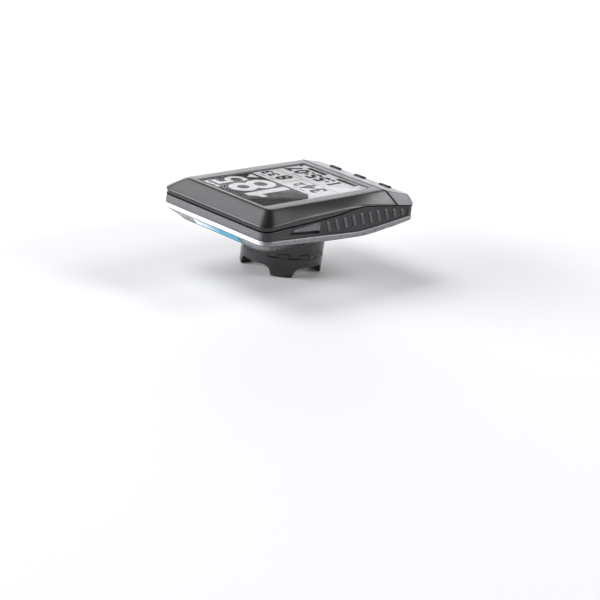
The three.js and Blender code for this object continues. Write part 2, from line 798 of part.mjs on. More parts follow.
function addElectronics() {
  addPart(computer, 'main_board', mainBoard(), 'board');
  addPart(computer, 'rf_shield', rfShield(), 'metal');
  addPart(computer, 'gps_antenna', gpsAntenna(), 'ceramic');
  addPart(computer, 'radio_module', radioModule(), 'metal');
  addPart(computer, 'pressure_sensor', pressureSensor(), 'metal');
  addPart(computer, 'buzzer', buzzer(), 'component');
  addPart(computer, 'usb_socket', usbSocket(), 'metal');
  addPart(computer, 'battery_connector', batteryConnector(), 'ceramic');
  addPart(computer, 'battery_lead', batteryLead(), 'component');
  addPart(computer, 'battery_pack', batteryPack(), 'battery');
  addPart(computer, 'battery_pad', batteryPad(), 'foam');
  addPart(computer, 'button_board', buttonBoard(), 'board');
}

function addButtons() {
  ['right', 'centre', 'left'].forEach((place, index) => {
    const x = -faceButtonXs[index];
    addPart(computer, `face_button_${place}`, faceButton(x), 'button');
    addPart(computer, `face_switch_${place}`, faceSwitch(x), 'component');
  });
  addPart(computer, 'power_button', powerButton(), 'housing');
  addPart(computer, 'power_switch', sideSwitch(-1, 22), 'component');
  Object.entries(ZOOM_BUTTON_Y).forEach(([name, y]) => {
    addPart(computer, name, zoomButton(y), 'housing');
    addPart(computer, name.replace('button', 'switch'), sideSwitch(1, y), 'component');
  });
  addPart(computer, 'usb_flap', usbFlap(), 'rubber');
}

function addFasteners() {
  forEachCaseScrew((x, y, tip) => screw(x, y, CASE_SEAT - GAP - SCREW_HEAD_HEIGHT, tip))
    .forEach((solid, index) => addPart(computer, `case_screw_${index + 1}`, solid, 'metal'));
  [-1, 1].forEach((side, index) => {
    const solid = screw(side * INSERT_SCREW_X, INSERT_Y, -19.7, -14.7);
    addPart(computer, `insert_screw_${index + 1}`, solid, 'metal');
    const ringScrew = screw(0, side * RING_SCREW_Y, 0.3, 6.3);
    addPart(stemMount, `ring_screw_${index + 1}`, ringScrew, 'metal');
  });
}

function addMount() {
  addPart(computer, 'mount_insert', mountInsert(), 'mount');
  addPart(stemMount, 'mount_ring', mountRing(), 'mount');
  addPart(stemMount, 'mount_base', mountBase(), 'mount');
  for (let index = 0; index < 4; index += 1) {
    addPart(stemMount, `grip_pad_${index + 1}`, gripPad(index), 'rubber');
  }
}

addShells();
addDisplay();
addElectronics();
addButtons();
addFasteners();
addMount();

export default assembly;
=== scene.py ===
import json
import math

import bmesh
import bpy
import numpy as np
from mathutils import Matrix, Vector


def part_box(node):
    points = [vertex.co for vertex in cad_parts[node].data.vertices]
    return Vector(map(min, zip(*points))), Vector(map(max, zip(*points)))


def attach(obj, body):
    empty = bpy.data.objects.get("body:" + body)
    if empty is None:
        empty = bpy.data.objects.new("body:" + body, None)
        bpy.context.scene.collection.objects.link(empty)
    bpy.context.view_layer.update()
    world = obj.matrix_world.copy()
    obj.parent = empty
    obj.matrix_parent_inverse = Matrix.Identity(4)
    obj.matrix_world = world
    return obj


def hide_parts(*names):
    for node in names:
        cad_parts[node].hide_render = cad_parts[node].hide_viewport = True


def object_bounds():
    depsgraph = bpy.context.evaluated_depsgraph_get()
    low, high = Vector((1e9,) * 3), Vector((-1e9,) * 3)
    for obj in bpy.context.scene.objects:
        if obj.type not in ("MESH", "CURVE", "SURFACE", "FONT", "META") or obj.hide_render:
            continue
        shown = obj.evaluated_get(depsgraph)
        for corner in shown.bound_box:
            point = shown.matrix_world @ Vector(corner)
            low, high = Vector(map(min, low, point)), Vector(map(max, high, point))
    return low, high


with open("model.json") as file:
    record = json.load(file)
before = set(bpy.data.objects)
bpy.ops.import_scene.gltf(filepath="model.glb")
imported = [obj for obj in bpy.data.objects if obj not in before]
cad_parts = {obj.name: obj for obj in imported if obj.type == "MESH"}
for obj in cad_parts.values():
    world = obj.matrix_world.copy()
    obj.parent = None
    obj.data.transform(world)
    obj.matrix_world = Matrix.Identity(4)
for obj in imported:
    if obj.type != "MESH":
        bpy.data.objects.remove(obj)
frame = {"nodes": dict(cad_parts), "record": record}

CAD_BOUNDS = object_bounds()
MM = 0.001

# ---- places taken from the frame ----

case_low, case_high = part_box("bottom_housing")
HALF_WIDTH = (case_high.x - case_low.x) / 2 / MM
HALF_LENGTH = (case_high.y - case_low.y) / 2 / MM
CASE = Vector((0, (case_low.y + case_high.y) / 2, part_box("top_housing")[1].z))
MOUNT = Vector((0, 0, 0))
MOUNT_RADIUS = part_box("mount_base")[1].x / MM
RING_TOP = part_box("mount_ring")[1].z / MM
RING_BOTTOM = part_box("mount_ring")[0].z / MM
FOOT_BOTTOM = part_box("grip_pad_1")[0].z / MM
PAD_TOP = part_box("grip_pad_1")[1].z / MM


def case_box(node):
    """A CAD node's box in the case's own millimetres: from its middle, and down from its face."""
    low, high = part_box(node)
    return (low - CASE) / MM, (high - CASE) / MM


UNDERSIDE = case_box("bottom_housing")[0].z
WINDOW_LOW, WINDOW_HIGH = case_box("window_glass")

# ---- height lines round the case: [y, z] points from the rear end to the front end ----

LIP = [(-45, -6.6), (-14, -3.1), (-4, -2.4), (24, -3.1), (45, -4.7)]
SEAM = [(-46, -6.9), (-14, -3.3), (-9, -2.95), (3, -4.7), (20, -5.7), (38, -6.2), (46, -7.0)]
RIM_TOP = [(-45, -10.5), (-11, -13.5), (14, -11.85), (45, -10.15)]
RIM_BOTTOM = [(-45, -12.2), (-16, -15.4), (11, -14.2), (45, -11.8)]
FRAME_HALF_WIDTH = 23.0
FRAME_FRONT = 38.5
FRAME_REAR = -43.6
GROOVE_Y = -29.3
GROOVE_SWEEP = 2.4
GROOVE_HALF_GAP = 0.5
STRIP_SLOPE = math.tan(math.radians(12))
CASE_CORNER = 4.6
WALL = 1.5


def height(points, blur=4.0):
    """A smooth height along Y through a few [y, z] points, rounded off over blur at each bend."""
    ys, zs = np.array(points, float).T

    def at(y):
        shifts = np.linspace(-blur, blur, 9)
        y = np.asarray(y, float)
        return np.mean([np.interp(y + shift, ys, zs) for shift in shifts], axis=0)

    return at


lip = height(LIP)
seam = height(SEAM)
rim_top = height(RIM_TOP, 6.0)
rim_bottom = height(RIM_BOTTOM, 6.0)


def level(value):
    return lambda y: np.full(np.shape(y), float(value))


def offset(line, amount):
    return lambda y: line(y) + amount


def strip_top(y):
    return (np.asarray(y, float) - GROOVE_Y) * STRIP_SLOPE


# ---- camera, floor and lights ----


def direction(azimuth, elevation):
    """Unit vector from the object towards a place, azimuth counted from +Y towards -X."""
    a, e = math.radians(azimuth), math.radians(elevation)
    return Vector((-math.sin(a) * math.cos(e), math.cos(a) * math.cos(e), math.sin(e)))


def aimed(location, target, roll=0.0):
    back = (location - target).normalized()
    right = Vector((0, 0, 1)).cross(back).normalized()
    up = back.cross(right)
    turned = Matrix.Rotation(roll, 3, back)
    right, up = turned @ right, turned @ up
    matrix = Matrix((right, up, back)).transposed().to_4x4()
    matrix.translation = location
    return matrix


CAMERA_AIM = CASE + Vector((-16.7, 6.1, -43.6)) * MM
CAMERA_AZIMUTH = 40.4
CAMERA_ELEVATION = 19.5
CAMERA_DISTANCE = 0.6654
CAMERA_ROLL = math.radians(8.0)


def add_camera():
    camera = bpy.data.objects.new("camera", bpy.data.cameras.new("camera"))
    bpy.context.scene.collection.objects.link(camera)
    camera.data.sensor_width = 36.0
    camera.data.lens = 100.0
    camera.data.clip_start = 0.01
    location = CAMERA_AIM + direction(CAMERA_AZIMUTH, CAMERA_ELEVATION) * CAMERA_DISTANCE
    camera.matrix_world = aimed(location, CAMERA_AIM, CAMERA_ROLL)
    bpy.context.scene.camera = camera


LIGHT_DISTANCE = 2.6
LIGHT_COLOUR = (0.97, 0.965, 1.0)


def add_light(name, azimuth, elevation, size, power):
    """A soft box that faces the case; size is its width and height in metres."""
    light = bpy.data.lights.new(name, "AREA")
    light.shape = "RECTANGLE"
    light.size, light.size_y = size
    light.energy = power
    light.color = LIGHT_COLOUR
    holder = bpy.data.objects.new(name, light)
    holder.matrix_world = aimed(CASE + direction(azimuth, elevation) * LIGHT_DISTANCE, CASE)
    bpy.context.scene.collection.objects.link(holder)


def grade_sky(tree):
    """White at the horizon, falling to a dim grey overhead."""
    coordinates = tree.nodes.new("ShaderNodeTexCoord")
    split = tree.nodes.new("ShaderNodeSeparateXYZ")
    fall = tree.nodes.new("ShaderNodeMapRange")
    fall.interpolation_type = "SMOOTHSTEP"
    for socket, value in (("From Min", -0.02), ("From Max", 0.6), ("To Min", 0.85), ("To Max", 0.05)):
        fall.inputs[socket].default_value = value
    tree.links.new(coordinates.outputs["Generated"], split.inputs["Vector"])
    tree.links.new(split.outputs["Z"], fall.inputs["Value"])
    tree.nodes["Background"].inputs["Color"].default_value = (1, 1, 1, 1)
    tree.links.new(fall.outputs["Result"], tree.nodes["Background"].inputs["Strength"])


FLOOR_GAP = 0.1
FLOOR_REACH = 6.0


def add_stage():
    bpy.context.scene.view_settings.view_transform = "Standard"
    world = bpy.data.worlds.new("studio")
    world.use_nodes = True
    grade_sky(world.node_tree)
    bpy.context.scene.world = world
    mesh = bpy.data.meshes.new("floor")
    reach = FLOOR_REACH
    corners = [(-reach, -reach), (reach, -reach), (reach, reach), (-reach, reach)]
    level_below = CAD_BOUNDS[0].z - FLOOR_GAP * MM
    mesh.from_pydata([(x, y, level_below) for x, y in corners], [], [(0, 1, 2, 3)])
    floor = bpy.data.objects.new("floor", mesh)
    bpy.context.scene.collection.objects.link(floor)
    material = bpy.data.materials.new("floor")
    material.use_nodes = True
    shader = material.node_tree.nodes["Principled BSDF"]
    shader.inputs["Base Color"].default_value = (0.9, 0.9, 0.9, 1)
    shader.inputs["Roughness"].default_value = 0.7
    mesh.materials.append(material)
    add_light("right_box", -78, 50, (1.8, 1.3), 36.0)
    add_light("rear_box", 170, 36, (1.1, 0.6), 20.0)
    add_light("front_box", -32, 12, (2.2, 1.0), 105.0)
    add_light("back_glow", 222, 10, (2.0, 0.7), 15.0)
    add_light("right_glow", -117, 9, (1.4, 0.6), 8.0)
    add_light("edge_box", 141, 22, (0.7, 0.6), 26.0)


add_camera()
add_stage()

# ---- materials ----


class Surface:
    """A procedural material: a Principled shader with noise nodes in object coordinates."""

    def __init__(self, name, roughness=0.5, metallic=0.0, specular=0.5, **sockets):
        self.material = bpy.data.materials.new(name)
        self.material.use_nodes = True
        self.nodes = self.material.node_tree.nodes
        self.links = self.material.node_tree.links
        self.shader = self.nodes["Principled BSDF"]
        self.shader.inputs["Roughness"].default_value = roughness
        self.shader.inputs["Metallic"].default_value = metallic
        self.shader.inputs["Specular IOR Level"].default_value = specular
        for socket, value in sockets.items():
            self.shader.inputs[socket.replace("_", " ")].default_value = value
        coordinates = self.nodes.new("ShaderNodeTexCoord")
        self.place = self.nodes.new("ShaderNodeMapping")
        self.place.inputs["Scale"].default_value = (1 / MM,) * 3
        self.links.new(coordinates.outputs["Object"], self.place.inputs["Vector"])
        self.normal = None

    def pattern(self, kind, size_mm, detail=2.0, stretch=(1, 1, 1)):
        """A noise or cell pattern whose features are about size_mm across."""
        mapping = self.nodes.new("ShaderNodeMapping")
        mapping.inputs["Scale"].default_value = [s / size_mm for s in stretch]
        self.links.new(self.place.outputs["Vector"], mapping.inputs["Vector"])
        if kind == "noise":
            node = self.nodes.new("ShaderNodeTexNoise")
            node.inputs["Detail"].default_value = detail
        else:
            node = self.nodes.new("ShaderNodeTexVoronoi")
            node.feature = "F1"
        node.inputs["Scale"].default_value = 1.0
        self.links.new(mapping.outputs["Vector"], node.inputs["Vector"])
        return node.outputs["Fac"] if kind == "noise" else node.outputs["Distance"]

    def ramp(self, source, low, high, start=0.35, end=0.65):
        node = self.nodes.new("ShaderNodeMapRange")
        node.inputs["From Min"].default_value = start
        node.inputs["From Max"].default_value = end
        node.inputs["To Min"].default_value = low
        node.inputs["To Max"].default_value = high
        self.links.new(source, node.inputs["Value"])
        return node.outputs["Result"]

    def colours(self, source, dark, light):
        node = self.nodes.new("ShaderNodeMix")
        node.data_type = "RGBA"
        node.inputs["A"].default_value = (*dark, 1)
        node.inputs["B"].default_value = (*light, 1)
        self.links.new(source, node.inputs["Factor"])
        self.links.new(node.outputs["Result"], self.shader.inputs["Base Color"])
        return node

    def vary_roughness(self, source, low, high):
        self.links.new(self.ramp(source, low, high), self.shader.inputs["Roughness"])

    def bump(self, source, depth_mm, strength=1.0):
        node = self.nodes.new("ShaderNodeBump")
        node.inputs["Distance"].default_value = depth_mm * MM
        node.inputs["Strength"].default_value = strength
        self.links.new(source, node.inputs["Height"])
        if self.normal is not None:
            self.links.new(self.normal, node.inputs["Normal"])
        self.normal = node.outputs["Normal"]
        self.links.new(self.normal, self.shader.inputs["Normal"])


def grey(value, tint=0.0):
    """A linear grey, a little cooler by tint."""
    return (value * (1 - tint), value, value * (1 + tint))


def moulded(name, value, roughness, grain=0.35, depth=0.02, spread=0.12, tint=0.05, **extra):
    """Moulded plastic: fine spark-eroded grain, slow mottling and uneven sheen."""
    surface = Surface(name, roughness, **extra)
    mottle = surface.ramp(surface.pattern("noise", 9.0, 3.0), 0, 1)
    surface.colours(mottle, grey(value * (1 - spread), tint), grey(value * (1 + spread), tint))
    surface.vary_roughness(surface.pattern("noise", 1.2, 4.0), roughness - 0.03, roughness + 0.03)
    surface.bump(surface.pattern("noise", grain, 2.0), depth)
    surface.bump(surface.pattern("cells", grain * 1.7), depth * 0.5)
    return surface.material


def dotted(name, value, roughness, pitch=0.7, depth=0.08, tint=0.04, specular=0.35, spread=0.25):
    """Plastic or rubber with a coarse pebbled grain."""
    surface = Surface(name, roughness, specular=specular)
    cells = surface.pattern("cells", pitch)
    shade = surface.ramp(cells, 1, 0, 0.15, 0.7)
    surface.colours(shade, grey(value * (1 - spread), tint), grey(value * (1 + spread), tint))
    surface.vary_roughness(surface.pattern("noise", 3.0, 3.0), roughness - 0.06, roughness + 0.06)
    surface.bump(shade, depth)
    surface.bump(surface.pattern("noise", 0.25, 2.0), depth * 0.25)
    return surface.material


def metal(name, colour, roughness, stretch=(1, 1, 1)):
    surface = Surface(name, roughness, metallic=1.0)
    brushed = surface.pattern("noise", 0.5, 3.0, stretch)
    dark = tuple(channel * 0.8 for channel in colour)
    surface.colours(surface.ramp(brushed, 0, 1), dark, colour)
    surface.vary_roughness(brushed, roughness - 0.08, roughness + 0.1)
    surface.bump(brushed, 0.01)
    return surface.material


def tinted(name, dark, light, roughness, size=2.0, depth=0.02, **extra):
    """Any plain coloured stuff: two shades mixed by noise, with fine bump."""
    surface = Surface(name, roughness, **extra)
    surface.colours(surface.ramp(surface.pattern("noise", size, 4.0), 0, 1), dark, light)
    surface.vary_roughness(surface.pattern("noise", size * 2, 3.0), roughness - 0.05, roughness + 0.05)
    surface.bump(surface.pattern("noise", size / 4, 2.0), depth)
    return surface.material


def display_ink(name, value, roughness=0.4):
    """Reflective display: a faint pixel grid with no gloss of its own."""
    surface = Surface(name, roughness, specular=0.0)
    cells = surface.pattern("cells", 0.35)
    surface.colours(surface.ramp(cells, 0, 1, 0.1, 0.8), grey(value * 0.95), grey(value * 1.03))
    surface.vary_roughness(surface.pattern("noise", 6.0, 3.0), roughness - 0.03, roughness + 0.05)
    surface.bump(cells, 0.004)
    return surface.material


def wall_with_painted_front_light(name, value, painted_lit_value, painted_light_fade, roughness, depth, contrast=0.2, specular=0.3):
    """Grained wall plastic, painted lighter over the front end between two distances along the case: painted
    front light.
    """
    surface = Surface(name, roughness, specular=specular)
    split = surface.nodes.new("ShaderNodeSeparateXYZ")
    surface.links.new(surface.place.outputs["Vector"], split.inputs["Vector"])
    front = CASE.y / MM
    # Painted front light: the colour ramps along Y from the side value to the lighter front value.
    painted_front_light = surface.ramp(split.outputs["Y"], 0, 1, front + painted_light_fade[0], front + painted_light_fade[1])
    cells = surface.pattern("cells", 0.85)
    shade = surface.ramp(cells, 1, 0, 0.15, 0.7)
    # The grain is added on top of the painted front light.
    grain = surface.nodes.new("ShaderNodeMath")
    grain.operation = "MULTIPLY_ADD"
    grain.inputs[1].default_value = contrast
    surface.links.new(shade, grain.inputs[0])
    surface.links.new(painted_front_light, grain.inputs[2])
    surface.colours(grain.outputs["Value"], grey(value, 0.04), grey(painted_lit_value, 0.02))
    surface.vary_roughness(surface.pattern("noise", 2.0, 3.0), roughness - 0.06, roughness + 0.06)
    surface.bump(shade, depth)
    surface.bump(surface.pattern("noise", 0.3, 2.0), depth * 0.3)
    return surface.material


def accent_film(name, glare_start, glare_end):
    """A blue film that turns white along X; the white end is a painted glare highlight."""
    surface = Surface(name, 0.3)
    split = surface.nodes.new("ShaderNodeSeparateXYZ")
    surface.links.new(surface.place.outputs["Vector"], split.inputs["Vector"])
    # Painted glare: the blue gives way to white towards +X.
    painted_light_fade = surface.ramp(split.outputs["X"], 0, 1, glare_start, glare_end)
    surface.colours(painted_light_fade, (0.01, 0.33, 0.52), (0.8, 0.9, 0.95))
    surface.bump(surface.pattern("noise", 0.6, 2.0), 0.02)
    surface.vary_roughness(surface.pattern("noise", 2.0, 2.0), 0.25, 0.4)
    return surface.material


def clear_glass(name):
    surface = Surface(name, 0.06, Alpha=0.08)
    surface.material.surface_render_method = "BLENDED"
    smear = surface.pattern("noise", 8.0, 3.0)
    surface.colours(surface.ramp(smear, 0, 1), (0.02, 0.022, 0.022), (0.03, 0.032, 0.032))
    surface.vary_roughness(smear, 0.04, 0.1)
    surface.bump(surface.pattern("noise", 3.0, 2.0), 0.0005)
    return surface.material


HOUSING = moulded("housing_plastic", 0.012, 0.35, grain=0.28, depth=0.008, spread=0.1)
UNDERSIDE_PLASTIC = moulded("underside_plastic", 0.045, 0.45, grain=0.3, depth=0.015)
# The front ends of these are painted lighter: painted reflection on the chamfer, painted light on the wall,
# painted highlight on the rim.
CHAMFER = wall_with_painted_front_light("chamfer_plastic", 0.035, 0.24, (38.0, 43.0), 0.24, 0.004, 0.04)
WALL_PLASTIC = wall_with_painted_front_light("wall_plastic", 0.03, 0.12, (43.8, 44.85), 0.5, 0.04)
RIM = wall_with_painted_front_light("rim_plastic", 0.2, 0.6, (43.6, 44.8), 0.3, 0.004, 0.03, 0.5)
STRIP_RUBBER = dotted("strip_rubber", 0.2, 0.42, pitch=0.4, depth=0.015, specular=0.45, spread=0.1)
PANEL = dotted("side_panel_plastic", 0.035, 0.6, pitch=0.7, depth=0.05)
PANEL_RIB = moulded("side_panel_rib", 0.07, 0.36, grain=0.3, depth=0.01)
BUTTON_PLASTIC = moulded("button_plastic", 0.12, 0.38, grain=0.3, depth=0.006)
BUTTON_RUBBER = moulded("button_rubber", 0.008, 0.5, grain=0.2, depth=0.012, specular=0.25)
LCD_LIGHT = display_ink("lcd_light", 0.76)
LCD_DARK = display_ink("lcd_dark", 0.045)
LCD_MARK = display_ink("lcd_mark", 0.33)
# The accent film's white end is a painted glare highlight.
ACCENT = accent_film("accent_film", -3, 11)
GLASS = clear_glass("window_clear")
MOUNT_NYLON = moulded("mount_nylon", 0.02, 0.2, grain=0.5, depth=0.005, spread=0.12)
SEAL_RUBBER = moulded("seal_rubber", 0.012, 0.7, grain=0.3, depth=0.01, specular=0.0)
PAD_RUBBER = dotted("pad_rubber", 0.03, 0.8, pitch=0.6, depth=0.05)
STEEL = metal("screw_steel", (0.62, 0.63, 0.65), 0.3)

SLOT_MATERIALS = {
    "housing": HOUSING,
    "underside": UNDERSIDE_PLASTIC,
    "rubber": dotted("soft_rubber", 0.04, 0.75, pitch=0.5, depth=0.03),
    "button": BUTTON_RUBBER,
    "panel": PANEL,
    "accent": ACCENT,
    "glass": GLASS,
    "lcd": LCD_LIGHT,
    "clear_plastic": tinted("clear_plastic", (0.7, 0.75, 0.78), (0.82, 0.87, 0.9), 0.2, 4.0),
    "board": tinted("solder_mask", (0.008, 0.07, 0.03), (0.02, 0.16, 0.07), 0.4, 1.6, 0.04),
    "component": tinted("black_epoxy", (0.015, 0.015, 0.018), (0.035, 0.035, 0.04), 0.5),
    "metal": STEEL,
    "ceramic": tinted("ceramic_body", (0.55, 0.48, 0.4), (0.7, 0.64, 0.55), 0.6, 3.0),
    "battery": metal("battery_foil", (0.5, 0.51, 0.54), 0.42, (1, 0.2, 1)),
    "foam": tinted("foam", (0.02, 0.02, 0.022), (0.06, 0.06, 0.065), 0.9, 0.8, 0.08),
    "flex": tinted("polyimide", (0.30, 0.11, 0.02), (0.48, 0.2, 0.04), 0.35, 3.0),
    "mount": MOUNT_NYLON,
}

# ---- mesh helpers ----

CORNER_POINTS = 10
SIDE_POINTS = 26
END_POINTS = 8


def outline(half_width, rear, front, front_radius, rear_radius=None, widen=None):
    """A rounded rectangle seen from above, counter-clockwise, always with the same number of points."""
    rear_radius = front_radius if rear_radius is None else rear_radius
    corners = [
        (half_width - rear_radius, rear + rear_radius, rear_radius, -90),
        (half_width - front_radius, front - front_radius, front_radius, 0),
        (front_radius - half_width, front - front_radius, front_radius, 90),
        (rear_radius - half_width, rear + rear_radius, rear_radius, 180),
    ]
    arcs = []
    for x, y, radius, start in corners:
        angles = np.radians(np.linspace(start, start + 90, CORNER_POINTS))
        arcs.append(np.stack([x + radius * np.cos(angles), y + radius * np.sin(angles)], 1))
    points = []
    for index, arc in enumerate(arcs):
        follow = arcs[(index + 1) % 4][0]
        between = SIDE_POINTS if index % 2 == 0 else END_POINTS
        steps = np.linspace(0, 1, between + 2)[1:-1, None]
        points += [arc, arc[-1] + (follow - arc[-1]) * steps]
    points = np.concatenate(points)
    if widen is not None:
        points[:, 0] *= widen(points[:, 1])
    return points


def raised(points, line):
    """Outline points lifted to a height line."""
    return np.column_stack([points, line(points[:, 1])])


def ring(half_width, rear, front, radius, line, rear_radius=None, widen=None):
    return raised(outline(half_width, rear, front, radius, rear_radius, widen), line)


def inset_ring(inset, line):
    return ring(
        HALF_WIDTH - inset, inset - HALF_LENGTH, HALF_LENGTH - inset, CASE_CORNER - inset / 2, line
    )


def build(name, vertices, faces, material, origin=CASE, sharp=35.0, materials=(), bands=None):
    """A mesh object from millimetre vertices, closed, facing outwards and smooth between sharp edges."""
    mesh = bpy.data.meshes.new(name)
    placed = np.asarray(vertices, float) * MM + np.array(origin)
    mesh.from_pydata(placed.tolist(), [], [list(map(int, face)) for face in faces])
    if bands is not None:
        mesh.polygons.foreach_set("material_index", bands)
    solid = bmesh.new()
    solid.from_mesh(mesh)
    bmesh.ops.remove_doubles(solid, verts=solid.verts, dist=1e-7)
    bmesh.ops.recalc_face_normals(solid, faces=solid.faces)
    solid.to_mesh(mesh)
    solid.free()
    for item in (material, *materials):
        mesh.materials.append(item)
    piece = bpy.data.objects.new(name, mesh)
    bpy.context.scene.collection.objects.link(piece)
    smooth(piece, sharp)
    return piece


def smooth(piece, sharp=35.0):
    piece.data.polygons.foreach_set("use_smooth", [True] * len(piece.data.polygons))
    piece.data.set_sharp_from_angle(angle=math.radians(sharp))


def loft(rings, closed=False):
    """Vertices and faces through rings of equal length: capped at both ends, or closed on itself."""
    count = len(rings[0])
    levels = len(rings)
    faces = []
    for lower in range(levels if closed else levels - 1):
        upper = (lower + 1) % levels
        for i in range(count):
            j = (i + 1) % count
            faces.append((lower * count + i, lower * count + j, upper * count + j, upper * count + i))
    if not closed:
        faces.append(range(count - 1, -1, -1))
        faces.append(range((levels - 1) * count, levels * count))
    return np.concatenate(rings), faces


def shell(name, outer, inner, material, **options):
    """A thin closed piece between two grids of points, each shaped [columns, rows, 3]."""
    columns, rows = outer.shape[:2]
    count = columns * rows
    index = np.arange(count).reshape(columns, rows)
    quads = np.stack([index[:-1, :-1], index[1:, :-1], index[1:, 1:], index[:-1, 1:]], -1).reshape(-1, 4)
    border = np.concatenate([index[:-1, 0], index[-1, :-1], index[:0:-1, -1], index[0, :0:-1]])
    follow = np.roll(border, -1)
    rim = np.stack([border, follow, count + follow, count + border], 1)
    faces = np.concatenate([quads, count + quads[:, ::-1], rim])
    vertices = np.concatenate([outer.reshape(-1, 3), inner.reshape(-1, 3)])
    return build(name, vertices, faces.tolist(), material, **options)


def arc_steps(start, corner, end, steps=5):
    """Points of a curve that leaves start and reaches end, pulled towards corner."""
    start, corner, end = (np.array(point, float) for point in (start, corner, end))
    t = np.linspace(0, 1, steps)[:, None]
    return start * (1 - t) ** 2 + 2 * corner * t * (1 - t) + end * t**2


def apply_modifiers(piece):
    graph = bpy.context.evaluated_depsgraph_get()
    baked = bpy.data.meshes.new_from_object(piece.evaluated_get(graph))
    piece.modifiers.clear()
    piece.data = baked


def bevel(piece, width, segments=2, angle=40.0):
    modifier = piece.modifiers.new("bevel", "BEVEL")
    modifier.width = width * MM
    modifier.segments = segments
    modifier.limit_method = "ANGLE"
    modifier.angle_limit = math.radians(angle)
    modifier.harden_normals = False
    apply_modifiers(piece)
    smooth(piece)


def cut(piece, cutters, operation="DIFFERENCE"):
    """Booleans each cutter out of the piece, and removes the cutters."""
    for cutter in cutters:
        modifier = piece.modifiers.new("cut", "BOOLEAN")
        modifier.operation = operation
        modifier.solver = "EXACT"
        modifier.object = cutter
    apply_modifiers(piece)
    for cutter in cutters:
        bpy.data.objects.remove(cutter)
    smooth(piece)


def prism(name, points, low, high, axis, material=None, origin=CASE):
    """A closed prism. points are [u, v] in the plane across axis, in the order Y-Z, X-Z or X-Y."""
    count = len(points)
    vertices = []
    for end in (low, high):
        for u, v in points:
            vertices.append({"x": (end, u, v), "y": (u, end, v), "z": (u, v, end)}[axis])
    faces = [range(count - 1, -1, -1), range(count, 2 * count)]
    faces += [(i, (i + 1) % count, count + (i + 1) % count, count + i) for i in range(count)]
    return build(name, vertices, faces, material or HOUSING, origin)


def rectangle(u0, u1, v0, v1):
    return [(u0, v0), (u1, v0), (u1, v1), (u0, v1)]


def rounded(u0, u1, v0, v1, radius, steps=6):
    """A rectangle with round corners, as [u, v] points."""
    points = []
    for cu, cv, start in (
        (u1 - radius, v0 + radius, -90),
        (u1 - radius, v1 - radius, 0),
        (u0 + radius, v1 - radius, 90),
        (u0 + radius, v0 + radius, 180),
    ):
        for angle in np.radians(np.linspace(start, start + 90, steps)):
            points.append((cu + radius * math.cos(angle), cv + radius * math.sin(angle)))
    return points


def lathe(name, profile, material, centre=(0, 0), origin=MOUNT, segments=96):
    """Turns [radius, z] points round a vertical axis. A point at radius 0 is a pole."""
    vertices, loops = [], []
    for radius, z in profile:
        if radius == 0:
            loops.append([len(vertices)] * segments)
            vertices.append((centre[0], centre[1], z))
            continue
        loops.append(list(range(len(vertices), len(vertices) + segments)))
        for k in range(segments):
            angle = 2 * math.pi * k / segments
            x, y = radius * math.cos(angle), radius * math.sin(angle)
            vertices.append((centre[0] + x, centre[1] + y, z))
    pairs = list(zip(loops, loops[1:]))
    if profile[0][0] > 0:
        pairs.append((loops[-1], loops[0]))
    faces = []
    for lower, upper in pairs:
        for k in range(segments):
            n = (k + 1) % segments
            face = [lower[k], lower[n], upper[n], upper[k]]
            faces.append(list(dict.fromkeys(face)))
    return build(name, vertices, faces, material, origin)


SCREW_WELL_RADIUS = 1.85


def screw_well(low, high, material, centre, origin):
    """Cutter for the round hole that a screw head sits in."""
    profile = [(0, low), (SCREW_WELL_RADIUS, low), (SCREW_WELL_RADIUS, high), (0, high)]
    return lathe("screw_well", profile, material, centre, origin, 32)


def finished(piece, body, slot, *nodes):
    """Puts a piece on its body and hides the CAD nodes that it stands for; slot is not used."""
    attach(piece, body)
    if nodes:
        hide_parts(*nodes)
    return piece


# ---- case ----


def slope_ring(share, line):
    """Ring on the slope between the flat frame (share 0) and the lip (share 1)."""
    across = HALF_WIDTH - FRAME_HALF_WIDTH
    return ring(
        FRAME_HALF_WIDTH + across * share,
        GROOVE_Y + GROOVE_HALF_GAP - GROOVE_SWEEP * max(share, 0),
        FRAME_FRONT + (HALF_LENGTH - FRAME_FRONT) * share,
        2.5 + (CASE_CORNER - 2.5) * share,
        line,
        rear_radius=0.3,
    )


def skirt_bottom(y):
    return seam(y) + 0.2


def lip_low(y):
    return np.maximum(lip(y) - 0.45, skirt_bottom(y) + 0.12)


def under_lip(drop):
    """Height line just under the lip, never below the skirt's lower edge."""
    return lambda y: np.maximum(lip_low(y) - drop, skirt_bottom(y) + 0.02)


